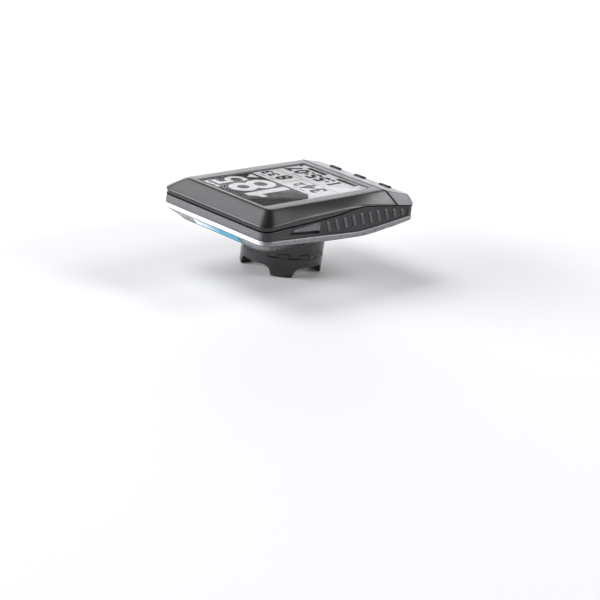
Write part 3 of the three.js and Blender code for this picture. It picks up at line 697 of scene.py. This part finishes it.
def top_housing():
    window_half, window_rear, window_front = WINDOW_HIGH.x + 0.3, WINDOW_LOW.y - 0.3, WINDOW_HIGH.y + 0.3

    def window(grow, z):
        return ring(
            window_half + grow, window_rear - grow, window_front + grow, 0.8 + max(grow, 0), level(z)
        )

    rings = [window(0, -1.35)]
    rings += [window(grow, z) for grow, z in arc_steps((0, -0.55), (0, 0), (0.6, 0), 6)]
    rings.append(window(1.1, 0))
    for share, z in arc_steps((-0.16, 0), (0, 0), (0.1, -1), 6):
        rings.append(slope_ring(share, lambda y, drop=-z: lip(y) * 0.1 * drop))
    for share in (0.3, 0.5, 0.7, 0.84):
        bulge = 0.12 * math.sin(math.pi * share)
        rings.append(slope_ring(share, lambda y, s=share, b=bulge: lip(y) * s + b))
    for share, fall in arc_steps((0.93, 0.0), (1.0, 0.3), (1.0, 1.0), 5):
        rings.append(slope_ring(share, lambda y, f=fall: lip(y) * 0.93 * (1 - f) + lip_low(y) * f))
    lip_end = len(rings) - 1
    rings.append(slope_ring(0.985, under_lip(0.07)))
    rings.append(slope_ring(0.95, under_lip(0.16)))
    rings.append(slope_ring(0.945, under_lip(0.26)))
    rings.append(slope_ring(0.945, offset(skirt_bottom, 0.12)))
    rings.append(slope_ring(0.92, skirt_bottom))
    inner = HALF_WIDTH - WALL - 0.4
    groove = GROOVE_Y + GROOVE_HALF_GAP + 0.1
    front = HALF_LENGTH - WALL - 0.4
    rings.append(ring(inner, groove - 1.6, front, 3.4, offset(seam, 0.12), 0.3))
    rings.append(ring(inner, groove - 1.4, front, 3.4, offset(lip, -1.45), 0.3))
    rings.append(ring(22.1, groove + 0.3, 37.4, 2.0, level(-1.9), 0.3))
    rings.append(window(-1.1, -1.9))
    rings.append(window(-1.1, -1.45))
    rings.append(window(-0.0, -1.45))
    # Painted shade under the lip: the faces under the lip take the sheenless seal rubber, as does the dark
    # joint face at the seam.
    painted_shade_and_joint_rings = [lip_end, lip_end + 1, lip_end + 2, lip_end + 4, lip_end + 5]
    bands = [int(number in painted_shade_and_joint_rings) for number in range(len(rings)) for _ in rings[0]]
    vertices, faces = loft(rings, closed=True)
    piece = build(
        "top_housing_shell", vertices, faces, HOUSING, sharp=50, materials=(SEAL_RUBBER,), bands=bands
    )
    return finished(piece, "computer", "housing", "top_housing")


def groove_seal():
    """Dark rubber cord at the bottom of the groove between the frame and the rear cover."""
    xs = np.linspace(-HALF_WIDTH + 0.3, HALF_WIDTH - 0.3, 90)
    share = np.clip((np.abs(xs) - FRAME_HALF_WIDTH) / (HALF_WIDTH - FRAME_HALF_WIDTH), 0, 1)
    middle = GROOVE_Y - GROOVE_SWEEP * share
    top = lip(middle) * share - 0.06
    half = GROOVE_HALF_GAP - 0.03
    offsets = np.linspace(-half, half, 5)
    crown = 0.05 * (1 - (offsets / half) ** 2)
    y = middle[:, None] + offsets[None, :]
    outer = np.stack([np.repeat(xs[:, None], 5, 1), y, top[:, None] + crown[None, :]], -1)
    inner = outer.copy()
    inner[..., 2] = top[:, None] - 0.5
    piece = shell("groove_seal_cord", outer, inner, SEAL_RUBBER, sharp=60)
    return finished(piece, "computer", "rubber")


def cover_ring(share, line, inset=0.0):
    """Ring of the rear cover: its front end follows the groove and its rear end the case."""
    across = HALF_WIDTH - FRAME_HALF_WIDTH

    def widen(y):
        fall = np.clip(-strip_top(y) / 6.0, 0, 1)
        return 1 + fall * (1 - share) * 0.2

    return ring(
        FRAME_HALF_WIDTH + across * share - inset,
        FRAME_REAR - (HALF_LENGTH + FRAME_REAR) * share + inset,
        GROOVE_Y - GROOVE_HALF_GAP - GROOVE_SWEEP * max(share, 0) - inset,
        0.3,
        line,
        rear_radius=2.6 + (CASE_CORNER - 2.6) * share,
        widen=widen,
    )


BUTTON_Y = -40.7
BUTTON_HALF = (2.7, 1.15)
BUTTON_CLEARANCE = 0.25


def rear_cover():
    def between(share):
        return lambda y: strip_top(y) * (1 - share) + lip_low(y) * share

    rings = [cover_ring(0.93, skirt_bottom), cover_ring(0.96, skirt_bottom)]
    for share in (1.0, 0.94, 0.8, 0.6, 0.4, 0.25):
        bulge = 0.35 * math.sin(math.pi * share)
        rings.append(cover_ring(share, lambda y, s=share, b=bulge: between(s)(y) + b * (1 - s)))
    for share in (0.12, 0.03, -0.06):
        rings.append(cover_ring(share, lambda y, s=share: strip_top(y) + lip_low(y) * max(s, 0) * 0.6))
    rings.append(cover_ring(-0.06, strip_top, inset=1.2))
    foot = cover_ring(0.5, skirt_bottom, inset=2.0)
    piece = build("rear_cover_shell", *loft([foot, *rings]), STRIP_RUBBER, sharp=45)
    cutters = []
    for place in ("left", "centre", "right"):
        low, high = case_box(f"face_button_{place}")
        middle = (low.x + high.x) / 2
        across, along = (half + BUTTON_CLEARANCE for half in BUTTON_HALF)
        hole = rounded(middle - across, middle + across, BUTTON_Y - along, BUTTON_Y + along, 0.8)
        cutters.append(prism("hole", hole, strip_top(BUTTON_Y) - 1.3, 2.0, "z"))
    cut(piece, cutters)
    return finished(piece, "computer", "rubber", "rear_button_cover")


def face_button(place):
    low, high = case_box(f"face_button_{place}")
    middle = (low.x + high.x) / 2
    across, along = BUTTON_HALF
    shape = rounded(-across, across, -along, along, 0.6)
    piece = prism(f"face_button_{place}_cap", shape, -0.6, 0.72, "z", BUTTON_RUBBER, MOUNT)
    bevel(piece, 0.28, 3)
    tilt = Matrix.Rotation(math.atan(STRIP_SLOPE), 4, "X")
    place_matrix = Matrix.Translation(CASE + Vector((middle, BUTTON_Y, float(strip_top(BUTTON_Y)))) * MM)
    piece.data.transform(place_matrix @ tilt)
    return finished(piece, f"face_button_{place}", "button", f"face_button_{place}")


def wall_inset(share):
    """How far the lower case's wall stands inside its widest line, from the seam (0) to the rim (1)."""
    return 0.36 - 0.14 * share


def wall_line(share):
    return lambda y: seam(y) * (1 - share) + rim_top(y) * share


def bottom_housing():
    under = [
        ring(22.6, -37.6, 37.6, 4.4, level(UNDERSIDE)),
        ring(23.6, -38.6, 38.6, 4.9, level(UNDERSIDE)),
        ring(24.3, -39.3, 39.3, 5.0, level(UNDERSIDE + 0.12)),
    ]
    chamfer = [
        ring(25.0, -40.1, 40.0, 5.0, lambda y: UNDERSIDE * 0.8 + rim_bottom(y) * 0.2),
        ring(26.6, -42.3, 42.2, 4.8, lambda y: UNDERSIDE * 0.42 + rim_bottom(y) * 0.58),
        inset_ring(1.05, offset(rim_bottom, -0.62)),
    ]
    shadow_line = [inset_ring(0.95, offset(rim_bottom, -0.3)), inset_ring(0.4, offset(rim_bottom, -0.06))]
    rim = [
        inset_ring(0.12, offset(rim_bottom, -0.02)),
        inset_ring(0.02, offset(rim_bottom, 0.12)),
        inset_ring(0.0, offset(rim_bottom, 0.35)),
        inset_ring(0.05, lambda y: rim_bottom(y) * 0.5 + rim_top(y) * 0.5),
        inset_ring(0.14, offset(rim_top, -0.25)),
        inset_ring(0.3, offset(rim_top, -0.06)),
    ]
    wall = [inset_ring(0.46, offset(rim_top, 0.05))]
    wall += [inset_ring(wall_inset(share), wall_line(share)) for share in (0.85, 0.6, 0.4, 0.2)]
    wall += [
        inset_ring(0.34, offset(seam, -0.6)),
        inset_ring(0.24, offset(seam, -0.42)),
        inset_ring(0.26, offset(seam, -0.28)),
    ]
    joint = [inset_ring(0.42, offset(seam, -0.15)), inset_ring(WALL + 0.6, offset(seam, -0.15))]
    inside = [
        inset_ring(WALL + 0.7, offset(rim_bottom, 0.6)),
        ring(22.4, -37.4, 37.4, 4.0, level(UNDERSIDE + 1.6)),
        ring(21.0, -36.0, 36.0, 4.0, level(UNDERSIDE + 1.6)),
    ]
    sections = (under, 0), (chamfer, 1), (shadow_line, 0), (rim, 2), (wall, 3), (joint, 4), (inside, 0)
    rings = [line for lines, _ in sections for line in lines]
    vertices, faces = loft(rings)
    bands = [number for lines, number in sections for _ in lines][1:]
    bands = [number for number in bands for _ in rings[0]] + [0, 0]
    piece = build(
        "bottom_housing_shell", vertices, faces, UNDERSIDE_PLASTIC, sharp=45,
        materials=(CHAMFER, RIM, WALL_PLASTIC, SEAL_RUBBER), bands=bands,
    )
    cut(piece, case_cutters())
    return finished(piece, "computer", "underside", "bottom_housing")


POWER_REAR = 14.3
POWER_FRONT = 29.2


def power_outline(grow_top=0.0, grow_bottom=0.0, grow_front=0.0, grow_rear=0.0):
    return [
        (POWER_REAR - grow_rear, float(seam(POWER_REAR)) - 0.75 + grow_top),
        (POWER_REAR - grow_rear, -9.5 - grow_bottom),
        (POWER_FRONT + grow_front, -8.05 - grow_bottom),
        (POWER_FRONT + grow_front, -7.45 + grow_top),
    ]


def panel_line(front, margin):
    """Lower and upper [y, z] edges of the side panel."""
    rear = PANEL_REAR - margin
    ys = np.linspace(rear, front + margin, 24)
    low = [(y, float(rim_top(y)) + 0.5 - margin) for y in ys]
    high = [(y, float(seam(y)) - 0.75 + margin) for y in ys]
    return low, high


PANEL_REAR = -39.5
PANEL_FRONT = {-1: 12.6, 1: -2.0}


def case_cutters():
    cutters = [
        prism("power_pocket", power_outline(0.12, 1.15, 1.6, 0.35), -HALF_WIDTH - 1, -HALF_WIDTH + 2.0, "x")
    ]
    for node in ("zoom_button_front", "zoom_button_rear"):
        low, high = case_box(node)
        pocket = rounded(low.y + 0.25, high.y - 0.25, low.z + 0.25, high.z - 0.25, 1.3)
        cutters.append(prism("zoom_pocket", pocket, HALF_WIDTH - 1.9, HALF_WIDTH + 1, "x"))
    for side, front in PANEL_FRONT.items():
        low, high = panel_line(front, 0.0)
        ends = sorted((side * (HALF_WIDTH + 1), side * (HALF_WIDTH - 1.5)))
        cutters.append(prism("panel_pocket", [*low, *high[::-1]], *ends, "x"))
    low, high = case_box("usb_flap")
    flap = rounded(low.x - 0.25, high.x + 0.25, low.z - 0.25, high.z + 0.25, 0.8)
    cutters.append(prism("flap_pocket", flap, -HALF_LENGTH - 1, -HALF_LENGTH + 1.7, "y"))
    for number in range(1, 7):
        low, high = case_box(f"case_screw_{number}")
        middle = ((low.x + high.x) / 2, (low.y + high.y) / 2)
        cutters.append(screw_well(-20, -13.9, HOUSING, middle, CASE))
    return cutters


def power_button():
    """Wedge cap whose face leans out towards its lower edge and ends in a ridge at the rear; the ridge's
    faces take the lighter rim plastic as a painted highlight.
    """
    corners = power_outline()
    stations = [14.35, 14.5, 14.75, 15.0, 15.3, 16.0, 20.0, 24.0, 27.5, 28.8, 29.1]
    ys = np.array([POWER_REAR, *stations, POWER_FRONT])
    share = (ys - POWER_REAR) / (POWER_FRONT - POWER_REAR)
    high = corners[0][1] + (corners[3][1] - corners[0][1]) * share
    low = corners[1][1] + (corners[2][1] - corners[1][1]) * share
    down = np.array([0, 0.03, 0.1, 0.3, 0.5, 0.7, 0.9, 0.97, 1.0])
    y = np.repeat(ys[:, None], len(down), 1)
    z = high[:, None] + (low - high)[:, None] * down[None, :]
    ridge = np.interp(ys, [14.3, 14.5, 14.9, 15.3, 16.2], [0.1, 0.36, 0.36, 0.04, 0.0])
    edge = np.interp(down, [0, 0.03, 0.97, 1.0], [0.12, 0.0, 0.0, 0.14])
    end = np.interp(ys, [14.3, 14.5, 28.9, 29.2], [0.15, 0.0, 0.0, 0.15])
    lean = 0.42 - 0.28 * down
    depth = np.clip(lean[None, :] - ridge[:, None] + edge[None, :] + end[:, None], 0.03, None)
    outer = np.stack([depth - HALF_WIDTH, y, z], -1)
    inner = outer.copy()
    inner[..., 0] = 1.3 - HALF_WIDTH
    # Painted highlight: the rear ridge's faces get the lighter rim plastic.
    painted_highlight_ridge_quads = np.repeat(ys[1:] < 15.0, len(down) - 1)
    plain = np.zeros(len(painted_highlight_ridge_quads) + 2 * (len(ys) + len(down) - 2))
    bands = np.concatenate([painted_highlight_ridge_quads, plain]).astype(int).tolist()
    piece = shell(
        "power_button_cap", outer, inner, BUTTON_PLASTIC, sharp=50, materials=(RIM,), bands=bands
    )
    return finished(piece, "power_button", "housing", "power_button")


def zoom_button(place):
    low, high = case_box(f"zoom_button_{place}")
    shape = rounded(low.y + 0.55, high.y - 0.55, low.z + 0.55, high.z - 0.55, 1.1)
    piece = prism(f"zoom_button_{place}_cap", shape, HALF_WIDTH - 1.3, HALF_WIDTH - 0.06, "x", BUTTON_PLASTIC)
    bevel(piece, 0.3, 3)
    return finished(piece, f"zoom_button_{place}", "housing", f"zoom_button_{place}")


RIB_PITCH = 5.0
RIB_HALF_WIDTH = 0.75
RIB_HALF_HEIGHT = 2.3
RIB_RISE = 0.42
PANEL_INSET = 0.5


def rib_height(y, z, front):
    """Embossed slanted bars along the panel."""
    middle = (rim_top(y) + seam(y)) / 2
    reach = np.clip((seam(y) - rim_top(y)) / 2 - 1.5, 0.2, RIB_HALF_HEIGHT)
    phase = (y - (z - middle) * 0.45 - front + 3.5) / RIB_PITCH
    across = np.abs(phase - np.round(phase)) * RIB_PITCH
    along = np.abs(z - middle) - reach
    distance = np.maximum(across - RIB_HALF_WIDTH, along)
    inside = (np.round(phase) <= 0) & (np.round(phase) >= -(front - PANEL_REAR - 10) // RIB_PITCH)
    return RIB_RISE * np.clip(-distance / 0.5 + 0.5, 0, 1) * inside


def side_panel(side):
    front = PANEL_FRONT[side]
    columns, rows = 300, 44
    low, high = (np.array(edge) for edge in panel_line(front, -0.08))
    ys = np.linspace(low[0, 0], low[-1, 0], columns)
    lower = np.interp(ys, low[:, 0], low[:, 1])[:, None]
    upper = np.interp(ys, high[:, 0], high[:, 1])[:, None]
    y = np.repeat(ys[:, None], rows, 1)
    z = lower + (upper - lower) * np.linspace(0, 1, rows)[None, :]
    rise = rib_height(y, z, front)
    x = HALF_WIDTH - PANEL_INSET + rise
    outer = np.stack([side * x, y, z], -1)
    inner = outer.copy()
    inner[..., 0] = side * (HALF_WIDTH - 1.4)
    on_rib = (rise[:-1, :-1] + rise[1:, 1:]).ravel() > RIB_RISE
    plain = np.zeros(len(on_rib) + 2 * (columns + rows - 2))
    bands = np.concatenate([on_rib, plain]).astype(int).tolist()
    name = f"side_panel_{'left' if side < 0 else 'right'}"
    piece = shell(f"{name}_inlay", outer, inner, PANEL, sharp=60, materials=(PANEL_RIB,), bands=bands)
    return finished(piece, "computer", "panel", name)


def front_accent():
    """Thin film on the lower front chamfer, following its slope."""
    low, high = case_box("front_accent")
    columns = 40
    share = np.linspace(0.17, 0.72, 8)
    y = 44.4 - 5.0 * share
    z = float(rim_bottom(44)) * (1 - share) + UNDERSIDE * share
    section = np.stack([np.zeros(8), y, z], 1)
    across = np.zeros((columns, 1, 3))
    across[:, 0, 0] = np.linspace(low.x + 3.6, high.x, columns)
    outer = section[None] + across + (0, 0.12, -0.12)
    inner = section[None] + across + (0, -0.3, 0.3)
    piece = shell("front_accent_film", outer, inner, ACCENT)
    return finished(piece, "computer", "accent", "front_accent")


def usb_flap():
    low, high = case_box("usb_flap")
    shape = rounded(low.x, high.x, low.z, high.z, 0.7)
    piece = prism(
        "usb_flap_cover", shape, -HALF_LENGTH + 0.08, -HALF_LENGTH + 1.2, "y", SLOT_MATERIALS["rubber"]
    )
    bevel(piece, 0.25, 3)
    return finished(piece, "usb_flap", "rubber", "usb_flap")


# ---- display picture ----

GLASS_TOP = -0.12
PICTURE_TOP = -0.42
LCD_RIGHT = 17.7
RAISED_INK = 0.08


def display_base():
    rear, front = WINDOW_LOW.y + 0.1, WINDOW_HIGH.y - 0.1
    shape = rounded(-WINDOW_HIGH.x + 0.1, WINDOW_HIGH.x - 0.1, rear, front, 0.6)
    piece = prism("lcd_face", shape, -1.3, PICTURE_TOP, "z", LCD_LIGHT)
    return finished(piece, "computer", "lcd", "lcd_panel")


def window_glass():
    shape = rounded(WINDOW_LOW.x, WINDOW_HIGH.x, WINDOW_LOW.y, WINDOW_HIGH.y, 0.7)
    piece = prism("window_pane", shape, PICTURE_TOP + 0.1, GLASS_TOP, "z", GLASS)
    bevel(piece, 0.08, 2)
    return finished(piece, "computer", "glass", "window_glass")


def ink(name, points, material=None, top=0.05):
    """A flat printed shape on the display picture."""
    piece = prism(name, points, PICTURE_TOP - 0.1, PICTURE_TOP + top, "z", material or LCD_DARK)
    return finished(piece, "computer", "lcd")


def digits(name, text, x0, x1, y0, y1, material, weight=0.0, top=0.05):
    """Numerals fitted into a box, as a closed mesh."""
    curve = bpy.data.curves.new(name, "FONT")
    curve.body = text
    curve.offset = weight
    curve.space_character = 1.0 + 3 * weight
    curve.extrude = 0.05
    curve.resolution_u = 6
    holder = bpy.data.objects.new(name, curve)
    bpy.context.scene.collection.objects.link(holder)
    graph = bpy.context.evaluated_depsgraph_get()
    mesh = bpy.data.meshes.new_from_object(holder.evaluated_get(graph))
    bpy.data.objects.remove(holder)
    points = np.array([vertex.co for vertex in mesh.vertices])
    low, high = points.min(0), points.max(0)
    scale = np.array([x1 - x0, y1 - y0, top + 0.1]) / (high - low)
    corner = np.array([x0, y0, PICTURE_TOP - 0.1])
    placed = (points - low) * scale + corner
    faces = [list(face.vertices) for face in mesh.polygons]
    piece = build(name, placed, faces, material)
    bpy.data.meshes.remove(mesh)
    return finished(piece, "computer", "lcd")


def display_picture():
    edge = WINDOW_HIGH.x - 0.12
    front = WINDOW_HIGH.y - 0.12
    panel = [(-edge, 10.6), (-13.4, 6.4), (edge, 6.4), (edge, front), (-edge, front)]
    ink("lcd_speed_field", panel)
    one = [(-2.0, 8.1), (-2.0, 30.6), (-4.9, 30.6), (-6.2, 27.8), (-8.7, 26.8), (-8.7, 24.0), (-5.7, 24.4),
           (-5.7, 8.1)]
    ink("lcd_speed_tens", one[::-1], LCD_LIGHT, RAISED_INK)
    digits("lcd_speed_units", "8", -0.7, 9.9, 7.8, 30.9, LCD_LIGHT, 0.012, RAISED_INK)
    digits("lcd_speed_tenths", "5", 10.7, 17.2, 14.6, 30.8, LCD_LIGHT, 0.012, RAISED_INK)
    ink("lcd_arrow", [(11.6, 8.2), (16.6, 8.2), (14.1, 12.9)], LCD_LIGHT, RAISED_INK)
    for index, (x0, x1) in enumerate(((8.8, 11.2), (12.0, 13.6), (14.2, 16.8))):
        ink(f"lcd_unit_mark_{index + 1}", rectangle(x0, x1, 32.6, 34.1), LCD_LIGHT, RAISED_INK)
    digits("lcd_left_value", "34", -13.0, -4.4, -6.4, 2.6, LCD_DARK, 0.035)
    digits("lcd_left_tenths", "2", -3.6, -0.4, -3.4, 2.4, LCD_DARK, 0.03)
    digits("lcd_right_value", "8", 5.4, 9.6, -6.4, 2.6, LCD_DARK, 0.035)
    digits("lcd_right_tenths", "33", 10.8, 17.2, -3.6, 2.4, LCD_DARK, 0.03)
    digits("lcd_timer", "1:55:07", -8.0, 17.4, -20.2, -11.6, LCD_DARK, 0.035)
    ink("lcd_divider_row", rectangle(-17.4, LCD_RIGHT, -7.6, -7.25), LCD_MARK)
    ink("lcd_divider_column", rectangle(2.3, 2.6, -7.2, 6.2), LCD_MARK)
    for index, (x0, x1) in enumerate(((-9.5, -6.5), (-5.8, -3.2), (7.0, 10.0), (12.0, 15.5))):
        ink(f"lcd_label_{index + 1}", rectangle(x0, x1, 3.7, 4.6), LCD_MARK)
    ink("lcd_timer_label", rectangle(5.0, 10.5, -10.2, -9.3), LCD_MARK)
    ink("lcd_key_left", rectangle(-13.4, -3.1, -23.8, -21.3))
    ink("lcd_key_right", rectangle(3.1, 13.1, -23.8, -21.3))
    ink("lcd_corner_mark_left", rectangle(-17.4, -15.6, -23.4, -21.6), LCD_MARK)
    ink("lcd_corner_mark_right", rectangle(16.4, LCD_RIGHT, -23.4, -21.6), LCD_DARK)


# ---- stem mount ----


def wedge(name, inner, outer, middle, width, low, high):
    """Cutter or tooth: a sector of a flat ring, centred on an angle in degrees."""
    angles = np.radians(np.linspace(middle - width / 2, middle + width / 2, 9))
    points = [(outer * math.cos(a), outer * math.sin(a)) for a in angles]
    points += [(inner * math.cos(a), inner * math.sin(a)) for a in angles[::-1]]
    return prism(name, points, low, high, "z", MOUNT_NYLON, MOUNT)


TOOTH_COUNT = 12


def tooth_angles():
    return [(index + 0.5) * 360 / TOOTH_COUNT for index in range(TOOTH_COUNT)]


RING_BORE = 10.9
RING_CHAMBER = 13.9
CHAMBER_TOP = 12.5
CHAMBER_FLOOR = 9.9
RING_FLOOR = 7.2
ENTRY_WIDTH = 54


def mount_ring():
    radius, bore, chamber = MOUNT_RADIUS, RING_BORE, RING_CHAMBER
    profile = [
        (0, RING_BOTTOM),
        (radius - 0.3, RING_BOTTOM),
        (radius, RING_BOTTOM + 0.3),
        (radius, RING_TOP - 1.2),
        (radius - 0.35, RING_TOP - 0.35),
        (radius - 1.2, RING_TOP),
        (bore + 0.4, RING_TOP),
        (bore, RING_TOP - 0.4),
        (bore, CHAMBER_TOP),
        (chamber, CHAMBER_TOP),
        (chamber, CHAMBER_FLOOR),
        (bore, CHAMBER_FLOOR),
        (bore, RING_FLOOR),
        (0, RING_FLOOR),
    ]
    piece = lathe("mount_ring_body", profile, MOUNT_NYLON, segments=120)
    cutters = [wedge("entry", 9, chamber, angle, ENTRY_WIDTH, CHAMBER_FLOOR + 0.05, 15) for angle in (0, 180)]
    cutters += [wedge("socket", 14.6, 18, angle, 16.4, 3, 5.7) for angle in tooth_angles()]
    cut(piece, cutters)
    return finished(piece, "stem_mount", "mount", "mount_ring")


ARCH_HALF_WIDTH = 8.0
ARCH_CROWN = 5.0


def arch(turned):
    """Cutter for the arch that runs along Y, or along X when turned."""
    half, crown = ARCH_HALF_WIDTH, ARCH_CROWN
    bend = half - crown
    points = [(-half, FOOT_BOTTOM - 1), (half, FOOT_BOTTOM - 1)]
    angles = np.radians(np.linspace(0, 90, 9))
    points += [(crown + bend * math.cos(a), -bend + bend * math.sin(a)) for a in angles]
    points += [(-crown - bend * math.cos(a), -bend + bend * math.sin(a)) for a in angles[::-1]]
    return prism("arch", points, -20, 20, "x" if turned else "y", MOUNT_NYLON, MOUNT)


def mount_base():
    radius = MOUNT_RADIUS
    profile = [
        (0, PAD_TOP),
        (radius - 0.2, PAD_TOP),
        (radius, PAD_TOP + 0.2),
        (radius, RING_BOTTOM - 0.35),
        (radius - 0.3, RING_BOTTOM - 0.05),
        (0, RING_BOTTOM - 0.05),
    ]
    piece = lathe("mount_base_body", profile, MOUNT_NYLON, segments=120)
    teeth = [
        wedge("tooth", 15, radius - 0.12, angle, 14.6, RING_BOTTOM - 1, 5.4) for angle in tooth_angles()
    ]
    cut(piece, teeth, "UNION")
    cutters = [arch(False), arch(True)]
    for number in (1, 2):
        low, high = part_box(f"ring_screw_{number}")
        middle = ((low.x + high.x) / 2 / MM, (low.y + high.y) / 2 / MM)
        cutters.append(screw_well(-3, 1.9, MOUNT_NYLON, middle, MOUNT))
    cut(piece, cutters)
    return finished(piece, "stem_mount", "mount", "mount_base")


def grip_pads():
    """Rubber tips of the four feet, a quarter of the base's outline each."""
    reach = MOUNT_RADIUS - 0.15
    inner = ARCH_HALF_WIDTH + 0.1
    start = math.asin(inner / reach)
    angles = np.linspace(start, math.pi / 2 - start, 10)
    corner = [(inner, inner)] + [(reach * math.cos(a), reach * math.sin(a)) for a in angles]
    for index in range(4):
        turn = math.pi / 2 * index
        points = [
            (x * math.cos(turn) - y * math.sin(turn), x * math.sin(turn) + y * math.cos(turn))
            for x, y in corner
        ]
        piece = prism(f"grip_pad_{index + 1}_tip", points, FOOT_BOTTOM, PAD_TOP, "z", PAD_RUBBER, MOUNT)
        bevel(piece, 0.18, 2)
        finished(piece, "stem_mount", "rubber", f"grip_pad_{index + 1}")


# ---- CAD nodes that stay ----


def finish_cad_nodes():
    """Every carried-over CAD node gets its slot's procedural material."""
    slots = {entry["node"]: entry["material_slot"] for entry in frame["record"]["subparts"]}
    for name, node in frame["nodes"].items():
        node.data.materials.clear()
        node.data.materials.append(SLOT_MATERIALS[slots[name]])


top_housing()
groove_seal()
rear_cover()
bottom_housing()
for button in ("left", "centre", "right"):
    face_button(button)
power_button()
for button in ("front", "rear"):
    zoom_button(button)
for panel_side in (-1, 1):
    side_panel(panel_side)
front_accent()
usb_flap()
display_base()
display_picture()
window_glass()
mount_ring()
mount_base()
grip_pads()
finish_cad_nodes()

bpy.context.view_layer.update()
